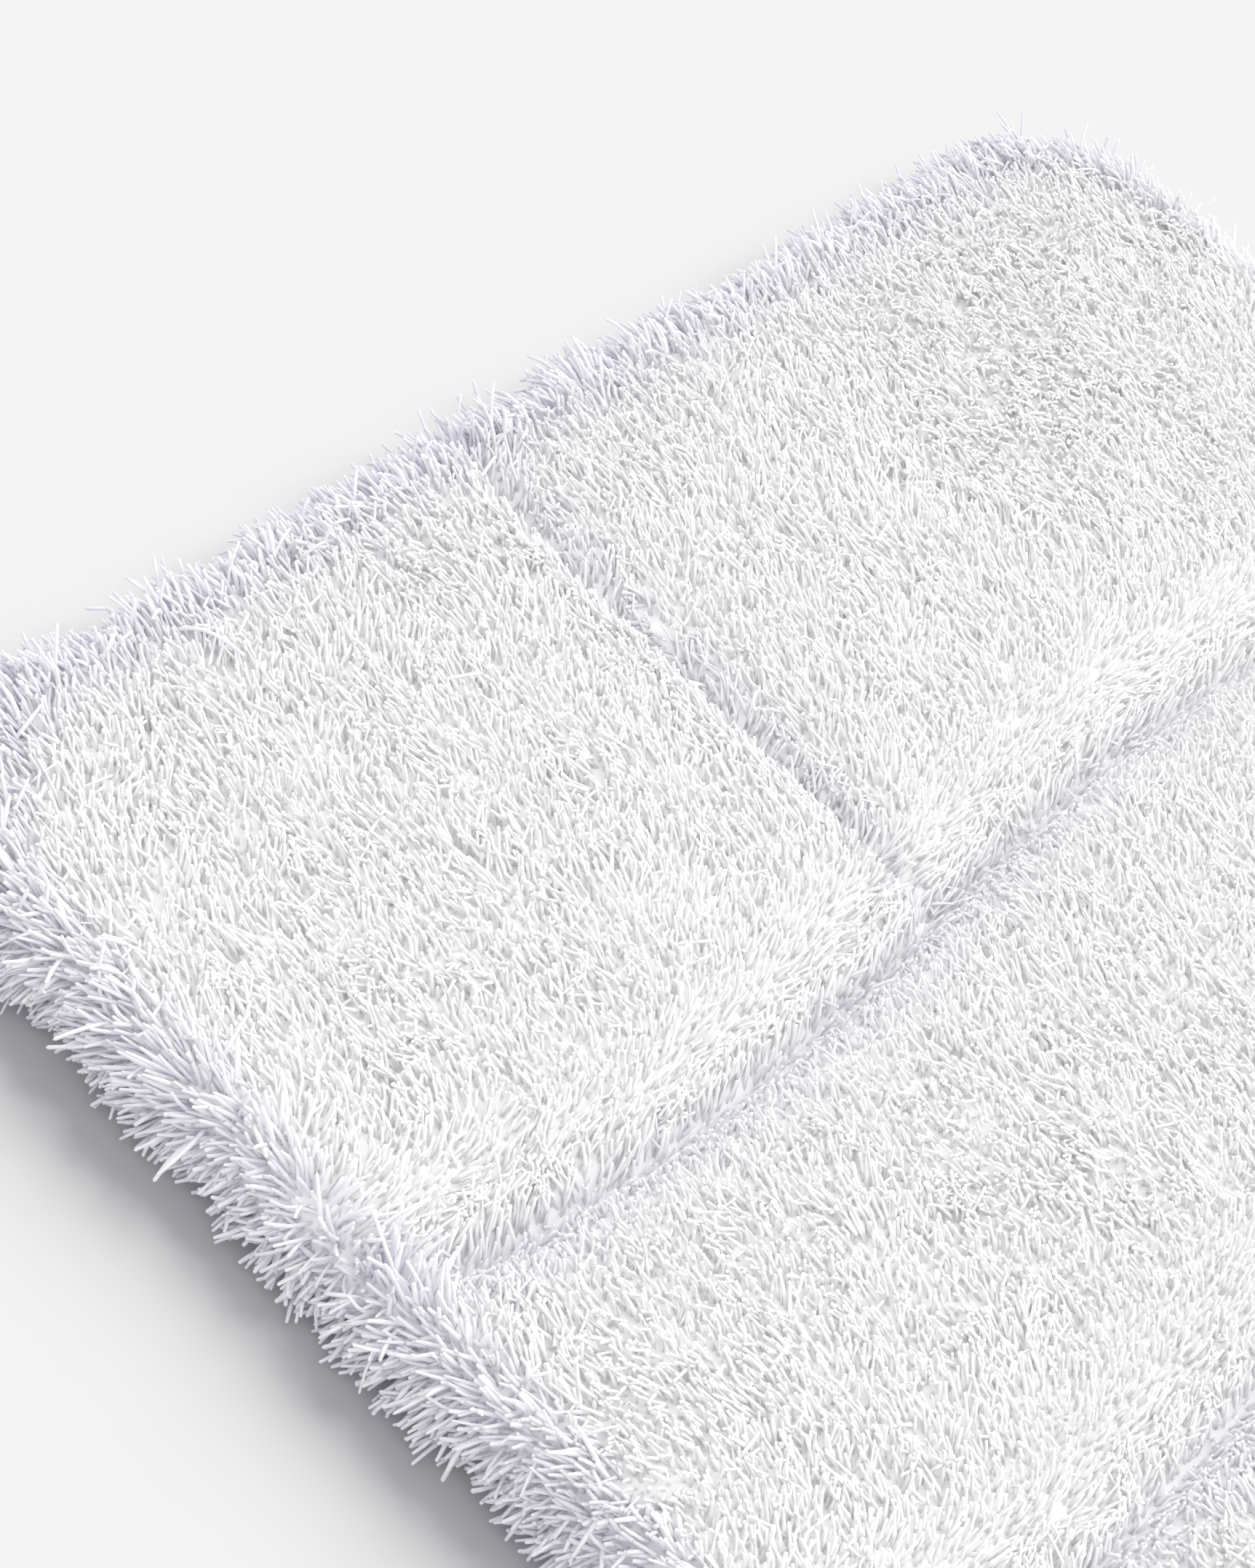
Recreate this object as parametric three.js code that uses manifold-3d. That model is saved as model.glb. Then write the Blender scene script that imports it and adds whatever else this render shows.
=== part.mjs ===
// A thick plush bath mat: a cut-pile top on a tufted backing cloth, with a latex coat,
// a dotted anti-slip layer, a binding tape sewn round the edge, and a folded care label.
// Units are millimetres. The origin is on the floor under the middle of the mat,
// +Y runs along the long side and +Z points up.

import * as THREE from 'three';
import { mergeVertices } from 'three/addons/utils/BufferGeometryUtils.js';
import Module from 'manifold-3d';

const wasm = await Module();
wasm.setup();

// Overall size of the mat, out to the tips of the yarns.
const matWidth = 500;
const matLength = 800;
const matHeight = 26;
const cornerRadius = 58;

// The pile.
const pileOverhang = 12; // how far the yarns splay out past the binding tape
const pileShoulder = 12; // rounding where the top turns over into the side
const skirtHeight = 2; // the side yarns stop this far above the floor

// The layers below the pile, from the floor up.
const clearance = 0.3; // between one layer and the next
const dotHeight = 1.65;
const rubberThickness = 0.8;
const latexThickness = 0.5;
const backingThickness = 0.8;

// The anti-slip dots.
const dotRadius = 3;
const dotPitch = 48;
const dotMargin = 10; // from a dot's middle to the inner edge of the binding
const dotOverlap = 0.3; // how far a dot runs up into the rubber sheet
const dotSides = 8;

// The binding tape and its stitching.
const tapeThickness = 0.55;
const tapeTurnIn = 12; // how far the tape reaches in from the edge, above and below
const seamInset = 7; // from the edge of the tape to the row of stitches
const threadThickness = 0.4;

// The care label, sewn into the binding on the underside, near a corner.
const labelWidth = 30;
const labelLength = 42;
const labelThickness = 0.35;
const labelFromEnd = 120; // from the near end of the mat to the middle of the label
const labelFold = 0.15; // rounding of the folded end

// Soft furrows where the mat was folded in its packet.
const furrowHalfWidth = 17;
const furrowDepth = 6;
const sideFurrowFromEdge = 205; // runs along the mat, from the far end to the first cross furrow
const crossFurrowFromEnd = 175; // runs across the mat
const secondFurrowFromEnd = 306;
const furrowSway = 9.5; // the cross furrows wander this far to each side of straight
const swayLength = 300; // one full wave of that wander
const swayStart = 70; // from the left edge to where a wave begins

const arcSegments = 8;

// Heights worked out from the layers.
const rubberTop = dotHeight + rubberThickness;
const latexBottom = rubberTop + clearance;
const latexTop = latexBottom + latexThickness;
const backingBottom = latexTop + clearance;
const backingTop = backingBottom + backingThickness;
const tapeTop = backingTop + clearance + tapeThickness;
const tapeBottom = dotHeight - clearance - tapeThickness;
const needleThreadBottom = tapeTop + clearance;
const bobbinThreadTop = tapeBottom - clearance;
const pileBottomAtEdge = needleThreadBottom + threadThickness + clearance;
const pileBottomInside = backingTop + clearance;

// A rectangle with round corners, inset from the outline of the whole mat.
function matOutline(inset, ShapeClass = THREE.Shape) {
  const halfWidth = matWidth / 2 - inset;
  const halfLength = matLength / 2 - inset;
  const radius = Math.max(cornerRadius - inset, 1);
  const x = halfWidth - radius;
  const y = halfLength - radius;
  const outline = new ShapeClass();
  outline.absarc(x, y, radius, 0, Math.PI / 2);
  outline.absarc(-x, y, radius, Math.PI / 2, Math.PI);
  outline.absarc(-x, -y, radius, Math.PI, 1.5 * Math.PI);
  outline.absarc(x, -y, radius, 1.5 * Math.PI, 2 * Math.PI);
  outline.closePath();
  return outline;
}

// A flat layer of the mat between two heights.
function layer(shape, bottom, top) {
  const geometry = new THREE.ExtrudeGeometry(shape, {
    depth: top - bottom,
    bevelEnabled: false,
    curveSegments: arcSegments,
  });
  return geometry.translate(0, 0, bottom);
}

// A ring of thread or tape that follows the edge of the mat.
function ring(outerInset, innerInset, bottom, top) {
  const shape = matOutline(outerInset);
  shape.holes.push(matOutline(innerInset, THREE.Path));
  return layer(shape, bottom, top);
}

// Turns a closed three.js geometry into a solid that can be joined and cut.
function solid(geometry) {
  const bare = geometry.clone();
  bare.deleteAttribute('normal');
  bare.deleteAttribute('uv');
  const merged = mergeVertices(bare, 1e-4);
  return new wasm.Manifold(new wasm.Mesh({
    numProp: 3,
    vertProperties: new Float32Array(merged.attributes.position.array),
    triVerts: new Uint32Array(merged.index.array),
  }));
}

// Turns a joined or cut solid back into a three.js geometry.
function geometryOf(cutSolid) {
  const mesh = cutSolid.getMesh();
  const geometry = new THREE.BufferGeometry();
  geometry.setAttribute('position', new THREE.BufferAttribute(mesh.vertProperties, 3));
  geometry.setIndex(new THREE.BufferAttribute(mesh.triVerts, 1));
  geometry.computeVertexNormals();
  return geometry;
}

// A long lens-shaped cutter that presses a soft furrow into the top of the pile.
function furrow(points, steps) {
  const section = new THREE.Shape();
  section.absellipse(0, 0, furrowDepth, furrowHalfWidth, 0, 2 * Math.PI);
  const route = new THREE.CatmullRomCurve3(points);
  return solid(new THREE.ExtrudeGeometry(section, { extrudePath: route, steps, curveSegments: 5 }));
}

// A furrow across the mat, in a slow wave from one long edge to the other.
function crossRoute(fromEnd) {
  const points = [];
  for (let across = -swayStart / 2; across <= matWidth + swayStart / 2; across += swayLength / 8) {
    const sway = furrowSway * Math.sin(2 * Math.PI * (across - swayStart) / swayLength);
    const y = matLength / 2 - fromEnd - sway;
    points.push(new THREE.Vector3(across - matWidth / 2, y, matHeight));
  }
  return points;
}

// The furrow from the far end of the mat down to the first cross furrow.
function sideRoute() {
  const x = sideFurrowFromEdge - matWidth / 2;
  const farEnd = matLength / 2 + furrowHalfWidth;
  const nearEnd = matLength / 2 - crossFurrowFromEnd;
  return [farEnd, (farEnd + nearEnd) / 2, nearEnd].map((y) => new THREE.Vector3(x, y, matHeight));
}

function makePile() {
  const shoulder = {
    depth: matHeight,
    bevelThickness: pileShoulder,
    bevelSize: pileShoulder,
    bevelSegments: 5,
    curveSegments: arcSegments,
  };
  const pad = new THREE.ExtrudeGeometry(matOutline(pileShoulder), shoulder);
  pad.translate(0, 0, -pileShoulder);
  const bulk = solid(pad).intersect(solid(layer(matOutline(-1), skirtHeight, 2 * matHeight)));
  const room = solid(layer(matOutline(pileOverhang - clearance), 0, pileBottomAtEdge));
  const roots = solid(layer(
    matOutline(pileOverhang + tapeTurnIn + clearance), pileBottomInside, pileBottomAtEdge + 1));

  const cut = bulk
    .subtract(room)
    .add(roots)
    .subtract(furrow(crossRoute(crossFurrowFromEnd), 14))
    .subtract(furrow(crossRoute(secondFurrowFromEnd), 14))
    .subtract(furrow(sideRoute(), 4));
  return geometryOf(cut);
}

function makeAntiSlipBacking() {
  const sheetInset = pileOverhang + tapeThickness + clearance;
  let sheet = solid(layer(matOutline(sheetInset), dotHeight, rubberTop));
  const spanX = matWidth / 2 - pileOverhang - tapeTurnIn - dotMargin;
  const spanY = matLength / 2 - pileOverhang - tapeTurnIn - dotMargin;
  const columns = Math.floor(spanX / dotPitch);
  const rows = Math.floor(spanY / dotPitch);
  const dot = new THREE.CylinderGeometry(dotRadius, dotRadius, dotHeight + dotOverlap, dotSides);
  dot.rotateX(Math.PI / 2);
  dot.translate(0, 0, (dotHeight + dotOverlap) / 2);
  const oneDot = solid(dot);
  for (let row = -rows; row <= rows; row += 1) {
    for (let column = -columns; column <= columns; column += 1) {
      const x = column * dotPitch;
      const y = row * dotPitch;
      if (!underLabel(x, y)) {
        sheet = sheet.add(oneDot.translate([x, y, 0]));
      }
    }
  }
  return geometryOf(sheet);
}

// Where the care label lies the rubber has no dots.
function underLabel(x, y) {
  const reach = matWidth / 2 - pileOverhang - tapeTurnIn - labelLength - 2 * dotRadius;
  const offCentre = Math.abs(y - (labelFromEnd - matLength / 2));
  return x > reach && offCentre < labelWidth / 2 + 2 * dotRadius;
}

function makeEdgeBinding() {
  const outside = solid(layer(matOutline(pileOverhang), tapeBottom, tapeTop));
  const fold = solid(layer(
    matOutline(pileOverhang + tapeThickness), tapeBottom + tapeThickness, tapeTop - tapeThickness));
  const middle = solid(layer(matOutline(pileOverhang + tapeTurnIn), tapeBottom - 1, tapeTop + 1));
  return geometryOf(outside.subtract(fold).subtract(middle));
}

function makeThread(bottom) {
  const seam = pileOverhang + seamInset;
  const half = threadThickness / 2;
  return ring(seam - half, seam + half, bottom, bottom + threadThickness);
}

function makeCareLabel() {
  const outerEnd = matWidth / 2 - pileOverhang - tapeTurnIn - clearance;
  const top = dotHeight - clearance;
  const side = new THREE.Shape();
  side.moveTo(outerEnd, top - labelThickness);
  side.lineTo(outerEnd, top);
  side.lineTo(outerEnd - labelLength + labelFold, top);
  side.absarc(
    outerEnd - labelLength + labelFold, top - labelFold, labelFold, Math.PI / 2, Math.PI);
  side.lineTo(outerEnd - labelLength, top - labelThickness + labelFold);
  side.absarc(
    outerEnd - labelLength + labelFold, top - labelThickness + labelFold, labelFold,
    Math.PI, 1.5 * Math.PI);
  side.closePath();
  const geometry = new THREE.ExtrudeGeometry(side, {
    depth: labelWidth,
    bevelEnabled: false,
    curveSegments: 3,
  });
  geometry.rotateX(Math.PI / 2);
  return geometry.translate(0, labelFromEnd - matLength / 2 + labelWidth / 2, 0);
}

const materials = {
  yarn: new THREE.MeshStandardMaterial({ color: 0xf1f0f2, roughness: 0.95, metalness: 0 }),
  cloth: new THREE.MeshStandardMaterial({ color: 0xdedbd2, roughness: 0.9, metalness: 0 }),
  latex: new THREE.MeshStandardMaterial({ color: 0xe6e0cc, roughness: 0.6, metalness: 0 }),
  rubber: new THREE.MeshStandardMaterial({ color: 0xe4e2dc, roughness: 0.55, metalness: 0 }),
  tape: new THREE.MeshStandardMaterial({ color: 0xeeedf0, roughness: 0.85, metalness: 0 }),
  thread: new THREE.MeshStandardMaterial({ color: 0xf4f3f5, roughness: 0.6, metalness: 0 }),
  label: new THREE.MeshStandardMaterial({ color: 0xf5f5f3, roughness: 0.5, metalness: 0 }),
};

const group = new THREE.Group();

function place(name, geometry, material) {
  const mesh = new THREE.Mesh(geometry, material);
  mesh.name = name;
  group.add(mesh);
}

const layerInset = pileOverhang + tapeThickness + clearance;
place('pile', makePile(), materials.yarn);
place('tufting_cloth', layer(matOutline(layerInset), backingBottom, backingTop), materials.cloth);
place('latex_coat', layer(matOutline(layerInset), latexBottom, latexTop), materials.latex);
place('anti_slip_backing', makeAntiSlipBacking(), materials.rubber);
place('edge_binding', makeEdgeBinding(), materials.tape);
place('needle_thread', makeThread(needleThreadBottom), materials.thread);
place('bobbin_thread', makeThread(bobbinThreadTop - threadThickness), materials.thread);
place('care_label', makeCareLabel(), materials.label);

export default group;
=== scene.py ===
import math
import bpy
import numpy as np
from mathutils import Matrix, Vector


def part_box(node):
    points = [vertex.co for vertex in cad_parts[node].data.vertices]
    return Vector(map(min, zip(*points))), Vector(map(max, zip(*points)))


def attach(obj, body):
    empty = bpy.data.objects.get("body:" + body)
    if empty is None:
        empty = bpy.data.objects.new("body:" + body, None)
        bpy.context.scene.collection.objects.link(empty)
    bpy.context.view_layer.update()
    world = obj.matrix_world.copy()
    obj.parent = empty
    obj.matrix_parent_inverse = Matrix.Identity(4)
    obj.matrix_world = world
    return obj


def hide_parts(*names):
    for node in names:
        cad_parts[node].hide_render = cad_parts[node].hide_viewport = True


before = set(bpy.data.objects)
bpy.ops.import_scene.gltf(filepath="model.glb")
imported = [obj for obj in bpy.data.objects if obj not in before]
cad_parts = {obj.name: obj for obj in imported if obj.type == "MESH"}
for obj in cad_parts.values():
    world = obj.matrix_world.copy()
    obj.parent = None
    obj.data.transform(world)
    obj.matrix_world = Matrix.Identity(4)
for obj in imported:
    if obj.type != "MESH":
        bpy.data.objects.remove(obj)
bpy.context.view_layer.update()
mm = 0.001

# sizes taken from the frame
pileLow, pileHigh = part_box("pile")
tapeLow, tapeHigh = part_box("edge_binding")
halfWidth = (pileHigh.x - pileLow.x) / 2
halfLength = (pileHigh.y - pileLow.y) / 2
matHeight = pileHigh.z

matShape = {
    "cornerRadius": 58 * mm,
    "tipHeight": matHeight - 2.6 * mm,  # where most yarn tips end, a little under the highest
    "puff": 1.3 * mm,  # the padded swell beside the edges
    "puffReach": 34 * mm,
    "puffAt": 14 * mm,
    "lumps": 0.9 * mm,  # broad unevenness of the top
    "lumpSizes": [(46 * mm, 0.7, 11), (17 * mm, 0.5, 12)],  # size, share, seed
}

# soft furrows: places are measured from the far left corner, as (across, down the mat)
furrows = {
    "swayLength": 320 * mm, "swayStart": 38 * mm, "sway": 3.5 * mm,
    "edgeTurn": 22 * mm, "edgeTurnReach": 20 * mm,  # a cross furrow bends to the far end at the left edge
    "cross": [
        {"down": 179 * mm, "depth": 5.3 * mm, "farWidth": 28 * mm, "nearWidth": 9 * mm,
         "cut": 6.3 * mm, "cutWidth": 4.0 * mm, "cutAt": 2 * mm, "shade": 0.8},
        {"down": 306 * mm, "depth": 3.5 * mm, "farWidth": 24 * mm, "nearWidth": 9 * mm,
         "cut": 4.0 * mm, "cutWidth": 3.4 * mm, "cutAt": 2 * mm, "shade": 0.9},
    ],
    "side": {"across": 198 * mm, "depth": 4.0 * mm, "leftWidth": 4 * mm, "rightWidth": 16 * mm,
             "cut": 6.5 * mm, "cutWidth": 3.0 * mm, "cutAt": 2 * mm, "shade": 0.75},
    "parting": 0.9, "partingReach": 6 * mm,  # the pile leans away from a furrow on both sides
    # painted shade: greyer, cooler yarns along the bottom of a furrow, fading out over one of its banks
    "shadeLine": 4.4 * mm, "shadeBank": 16 * mm, "bankShade": 0.5, "slopeShade": 0.2,
    "wobble": 1.8 * mm, "wobbleSize": 26 * mm,  # so that no furrow runs quite straight
    "slopeAt": 12 * mm, "slopeWidth": 12 * mm,
    "patchy": 0.3, "patchSize": 34 * mm,  # the shade comes and goes along a furrow
    "rightFade": 0.4, "fadeFrom": 40 * mm, "fadeOver": 150 * mm,  # and is fainter on the right of the mat
    "partSharp": 1.5 * mm, "sideEnd": 4 * mm,
    "edgeFrom": 4 * mm, "edgeOver": 22 * mm, "edgeLeast": 0.35,  # a furrow is shallower at the rim
}

# painted shade at the rim: greyer, cooler yarns, each side by its own share, and a broad painted shade
# fading in from the far end
paintedEdgeShade = {"left": 0.72, "right": 0.45, "far": 0.95, "near": 0.45, "reach": 20 * mm,
             "fadeShare": 0.6, "broad": 0.34, "broadReach": 55 * mm}


# smooth noise between -1 and 1 that repeats exactly each run
def softNoise(x, y, size, seed):
    lattice = np.random.default_rng(seed).uniform(-1, 1, (128, 128))
    gx, gy = x / size + 40.0, y / size + 40.0
    ix, iy = np.floor(gx).astype(int), np.floor(gy).astype(int)
    fx, fy = gx - ix, gy - iy
    fx, fy = fx * fx * (3 - 2 * fx), fy * fy * (3 - 2 * fy)
    a = lattice[ix % 128, iy % 128]
    b = lattice[(ix + 1) % 128, iy % 128]
    c = lattice[ix % 128, (iy + 1) % 128]
    d = lattice[(ix + 1) % 128, (iy + 1) % 128]
    return (a * (1 - fx) + b * fx) * (1 - fy) + (c * (1 - fx) + d * fx) * fy


# how far a place lies inside the mat's outline, negative outside it
def insetOf(x, y):
    r = matShape["cornerRadius"]
    qx = np.abs(x) - (halfWidth - r)
    qy = np.abs(y) - (halfLength - r)
    out = np.hypot(np.maximum(qx, 0), np.maximum(qy, 0))
    return r - out - np.minimum(np.maximum(qx, qy), 0)


# a point of the outline, or of a line inside it, by the distance walked round, and which way is out
def outlineAt(walk, inset=0.0):
    cx, cy = halfWidth - matShape["cornerRadius"], halfLength - matShape["cornerRadius"]
    r = matShape["cornerRadius"] - inset
    arc = math.pi / 2 * r
    legs = [2 * cy, arc, 2 * cx, arc, 2 * cy, arc, 2 * cx, arc]
    starts = np.concatenate([[0], np.cumsum(legs)])
    walk = np.asarray(walk) % starts[-1]
    x, y = np.zeros_like(walk), np.zeros_like(walk)
    nx, ny = np.zeros_like(walk), np.zeros_like(walk)
    corners = [(cx, cy), (-cx, cy), (-cx, -cy), (cx, -cy)]
    for leg in range(8):
        here = (walk >= starts[leg]) & (walk < starts[leg + 1])
        along = walk[here] - starts[leg]
        turn = leg // 2 * math.pi / 2
        if leg % 2 == 0:
            px, py = corners[leg // 2 - 1]
            x[here] = px + r * math.cos(turn) - along * math.sin(turn)
            y[here] = py + r * math.sin(turn) + along * math.cos(turn)
            nx[here], ny[here] = math.cos(turn), math.sin(turn)
        else:
            px, py = corners[leg // 2]
            angle = turn + along / r
            nx[here], ny[here] = np.cos(angle), np.sin(angle)
            x[here], y[here] = px + r * nx[here], py + r * ny[here]
    return x, y, nx, ny


def outlineLength(inset=0.0):
    r = matShape["cornerRadius"]
    return 4 * (halfWidth - r) + 4 * (halfLength - r) + 2 * math.pi * (r - inset)


# distance past a cross furrow, towards the far end
def pastFurrow(x, y, furrow):
    across = x + halfWidth
    sway = furrows["sway"] * np.sin(
        2 * np.pi * (across - furrows["swayStart"]) / furrows["swayLength"])
    sway -= furrows["edgeTurn"] * np.exp(-np.maximum(across, 0) / furrows["edgeTurnReach"])
    wobble = furrows["wobble"] * softNoise(x, y, furrows["wobbleSize"], 13)
    return y - (halfLength - furrow["down"] - sway) + wobble


# distance past the side furrow, away from the left edge
def pastSideFurrow(x, y):
    wobble = furrows["wobble"] * softNoise(x, y, furrows["wobbleSize"], 14)
    return x + halfWidth - furrows["side"]["across"] + wobble


# how strongly the pile is parted beside a furrow, and to which side
def partedBy(off):
    side = np.tanh(off / furrows["partSharp"])
    return furrows["parting"] * side * np.exp(-(off / furrows["partingReach"]) ** 2)


# how far a place lies along the side furrow: 1 up to the first cross furrow, 0 past it
def sideReach(x, y):
    return 1 / (1 + np.exp(-pastFurrow(x, y, furrows["cross"][0]) / furrows["sideEnd"]))


def furrowDip(x, y):
    dip = np.zeros_like(x)
    for furrow in furrows["cross"]:
        past = pastFurrow(x, y, furrow)
        width = np.where(past > 0, furrow["farWidth"], furrow["nearWidth"])
        here = furrow["depth"] * np.exp(-(past / width) ** 2)
        here += furrow["cut"] * np.exp(-((past - furrow["cutAt"]) / furrow["cutWidth"]) ** 2)
        dip = np.maximum(dip, here)
    side = furrows["side"]
    off = pastSideFurrow(x, y)
    width = np.where(off < 0, side["leftWidth"], side["rightWidth"])
    here = side["depth"] * np.exp(-(off / width) ** 2)
    here += side["cut"] * np.exp(-((off - side["cutAt"]) / side["cutWidth"]) ** 2)
    inside = (insetOf(x, y) - furrows["edgeFrom"]) / furrows["edgeOver"]
    nearEdge = np.clip(inside, furrows["edgeLeast"], 1)
    return np.maximum(dip, here * sideReach(x, y)) * nearEdge


# how much painted shade a furrow puts on the yarns, from 0 to 1
def paintedFurrowShade(x, y):
    def shadeOf(off, bankSide):
        line = np.exp(-(off / furrows["shadeLine"]) ** 2)
        bank = furrows["bankShade"] * np.exp(-(off / furrows["shadeBank"]) ** 2) * (off * bankSide > 0)
        return np.maximum(line, bank)

    shade = np.zeros_like(x)
    fainter = 1 + furrows["patchy"] * softNoise(x, y, furrows["patchSize"], 15)
    fainter -= furrows["rightFade"] * np.clip((x - furrows["fadeFrom"]) / furrows["fadeOver"], 0, 1)
    for furrow in furrows["cross"]:
        off = pastFurrow(x, y, furrow) - furrow["cutAt"]
        slope = furrows["slopeShade"] * np.exp(-((off - furrows["slopeAt"]) / furrows["slopeWidth"]) ** 2)
        here = furrow["shade"] * fainter * np.maximum(shadeOf(off, -1), slope)
        shade = np.maximum(shade, here)
    side = furrows["side"]
    off = pastSideFurrow(x, y) - side["cutAt"]
    return np.maximum(shade, side["shade"] * fainter * shadeOf(off, 1) * sideReach(x, y))


# how much painted shade the yarns get at the rim, by the side that they face, and towards the far end
def paintedEdgeShadeAt(x, y):
    r = matShape["cornerRadius"]
    qx = np.sign(x) * np.maximum(np.abs(x) - (halfWidth - r), 0)
    qy = np.sign(y) * np.maximum(np.abs(y) - (halfLength - r), 0)
    size = np.maximum(np.hypot(qx, qy), 1e-9)
    facing = paintedEdgeShade["left"] * np.maximum(-qx, 0) + paintedEdgeShade["right"] * np.maximum(qx, 0)
    facing += paintedEdgeShade["far"] * np.maximum(qy, 0) + paintedEdgeShade["near"] * np.maximum(-qy, 0)
    fade = (paintedEdgeShade["reach"] - insetOf(x, y)) / (paintedEdgeShade["fadeShare"] * paintedEdgeShade["reach"])
    rim = facing / size * np.clip(fade, 0, 1)
    broad = paintedEdgeShade["broad"] * np.exp((y - halfLength) / paintedEdgeShade["broadReach"])
    return np.maximum(rim, broad)


# height of the yarn tips over any place on the mat
def tipTop(x, y):
    inset = insetOf(x, y)
    puff = matShape["puff"] * np.exp(-((inset - matShape["puffAt"]) / matShape["puffReach"]) ** 2)
    lumps = sum(share * softNoise(x, y, size, seed) for size, share, seed in matShape["lumpSizes"])
    lumps = matShape["lumps"] * lumps
    return matShape["tipHeight"] + puff + lumps - furrowDip(x, y)


# which way the pile leans: heading is turned from +X towards +Y, lean is sideways per unit of height
nap = {
    "heading": 112, "lean": 0.95,
    "swirls": [(58 * mm, 26, 21), (19 * mm, 22, 22), (7 * mm, 17, 23)],  # size, degrees, seed
    "swirl": 1.6, "stretch": 0.35, "stretchSize": 11 * mm,
    "edgeFrom": 6 * mm, "edgeOver": 24 * mm, "edgeLeast": 0.15,  # the parting is weaker at the rim
    "brushed": [  # patches combed another way: place, reach, heading, lean
        {"at": (30, 150), "reach": (45, 110), "heading": 78, "lean": 0.95},
        {"at": (400, 65), "reach": (120, 65), "heading": 150, "lean": 1.15},
        {"at": (300, 215), "reach": (30, 22), "heading": 85, "lean": 0.9},
    ],
    "slope": {"heading": 4, "lean": 0.7, "middle": 13 * mm, "reach": 13 * mm},
}


def napAt(x, y):
    across, down = (x + halfWidth) / mm, (halfLength - y) / mm
    heading = np.radians(nap["heading"])
    lx = np.full_like(x, nap["lean"] * np.cos(heading))
    ly = np.full_like(x, nap["lean"] * np.sin(heading))

    def comb(weight, heading, lean, lx, ly):
        heading = math.radians(heading)
        return (lx * (1 - weight) + weight * lean * math.cos(heading),
                ly * (1 - weight) + weight * lean * math.sin(heading))

    for patch in nap["brushed"]:
        away = ((across - patch["at"][0]) / patch["reach"][0]) ** 2
        away += ((down - patch["at"][1]) / patch["reach"][1]) ** 2
        lx, ly = comb(np.exp(-away), patch["heading"], patch["lean"], lx, ly)
    slope = nap["slope"]
    nearEdge = np.clip((insetOf(x, y) - nap["edgeFrom"]) / nap["edgeOver"], nap["edgeLeast"], 1)
    for furrow in furrows["cross"]:
        past = pastFurrow(x, y, furrow)
        weight = np.exp(-((past - slope["middle"]) / slope["reach"]) ** 2)
        lx, ly = comb(weight, slope["heading"], slope["lean"], lx, ly)
        ly += partedBy(past - furrow["cutAt"]) * nearEdge
    side = furrows["side"]
    lx += partedBy(pastSideFurrow(x, y) - side["cutAt"]) * sideReach(x, y)
    turn = np.zeros_like(x)
    for size, degrees, seed in nap["swirls"]:
        turn += np.radians(degrees) * softNoise(x, y, size, seed) * nap["swirl"]
    stretch = 1 + nap["stretch"] * softNoise(x, y, nap["stretchSize"], 24)
    lx, ly = lx * stretch, ly * stretch
    return lx * np.cos(turn) - ly * np.sin(turn), lx * np.sin(turn) + ly * np.cos(turn)


yarn = {
    "pitch": 1.8 * mm,
    "stand": 4.2 * mm,  # tips above the bed of the pile
    "rooted": 1.5 * mm,  # hidden start inside the bed
    "above": 3.5 * mm,  # no tip stands higher than this over the mat
    "strayShare": 0.06,
    "tuft": 4.6 * mm, "tuftTurn": 30, "tuftVary": 0.3, "gather": 0.3,  # neighbours that lean alike
    "tuftDrift": 1.2 * mm, "tuftDriftSize": 7 * mm, "tuftOff": 0.25, "tuftTall": 0.06,
    "turnVary": 0.32, "leanVary": 0.3, "tallVary": 0.10, "strayTurn": 2.2,
    "shadeVary": (0.65, 1.15),
    "strips": 24,
}
yarnStrand = {"radius": 0.52 * mm, "radiusVary": 0.14, "flatten": 0.85, "sides": 5, "rings": 3, "twist": 2.2}
edgeStrand = {**yarnStrand, "rings": 5}
edgeYarn = {"pitch": 1.6 * mm, "bedInset": 6.0 * mm, "bedShoulder": 9.0 * mm,
            "wallFoot": 4.2 * mm, "length": 7.2 * mm, "lengthVary": 0.16, "droop": 0.5,
            "clump": 0.42, "clumpSize": 9 * mm, "sideLean": 0.35, "sideLeanSize": 6 * mm,
            "longerOnTop": 1.5 * mm, "tousledShare": 0.2, "tousledLonger": 1.4,
            "clearOfFloor": (0.5, 2.4),  # in mm
            "wallShade": 0.8, "strips": 8}


def unit(v):
    return v / np.maximum(np.linalg.norm(v, axis=-1, keepdims=True), 1e-12)


# the wandering spots where yarns start: a jittered grid
def scattered(width, length, pitch, rng):
    nx, ny = int(round(width / pitch)), int(round(length / pitch))
    gx, gy = np.meshgrid((np.arange(nx) + 0.5) / nx, (np.arange(ny) + 0.5) / ny, indexing="ij")
    gx = gx.ravel() * width + rng.uniform(-0.46, 0.46, nx * ny) * pitch
    gy = gy.ravel() * length + rng.uniform(-0.46, 0.46, nx * ny) * pitch
    return gx, gy


# the tuft that a yarn belongs to: its middle, and how it leans and stands beside the others
def tuftAt(x, y):
    size = yarn["tuft"]
    rng = np.random.default_rng(77)
    table = rng.uniform(-1, 1, (5, 256, 256))
    wx = x + yarn["tuftDrift"] * softNoise(x, y, yarn["tuftDriftSize"], 51)
    wy = y + yarn["tuftDrift"] * softNoise(x, y, yarn["tuftDriftSize"], 52)
    ix = np.floor((wx + halfWidth) / size).astype(int) % 256
    iy = np.floor((wy + halfLength) / size).astype(int) % 256
    jx, jy, turn, vary, tall = table[:, ix, iy]
    middleX = (ix + 0.5 + yarn["tuftOff"] * jx) * size - halfWidth
    middleY = (iy + 0.5 + yarn["tuftOff"] * jy) * size - halfLength
    return middleX, middleY, turn, vary, tall
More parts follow.
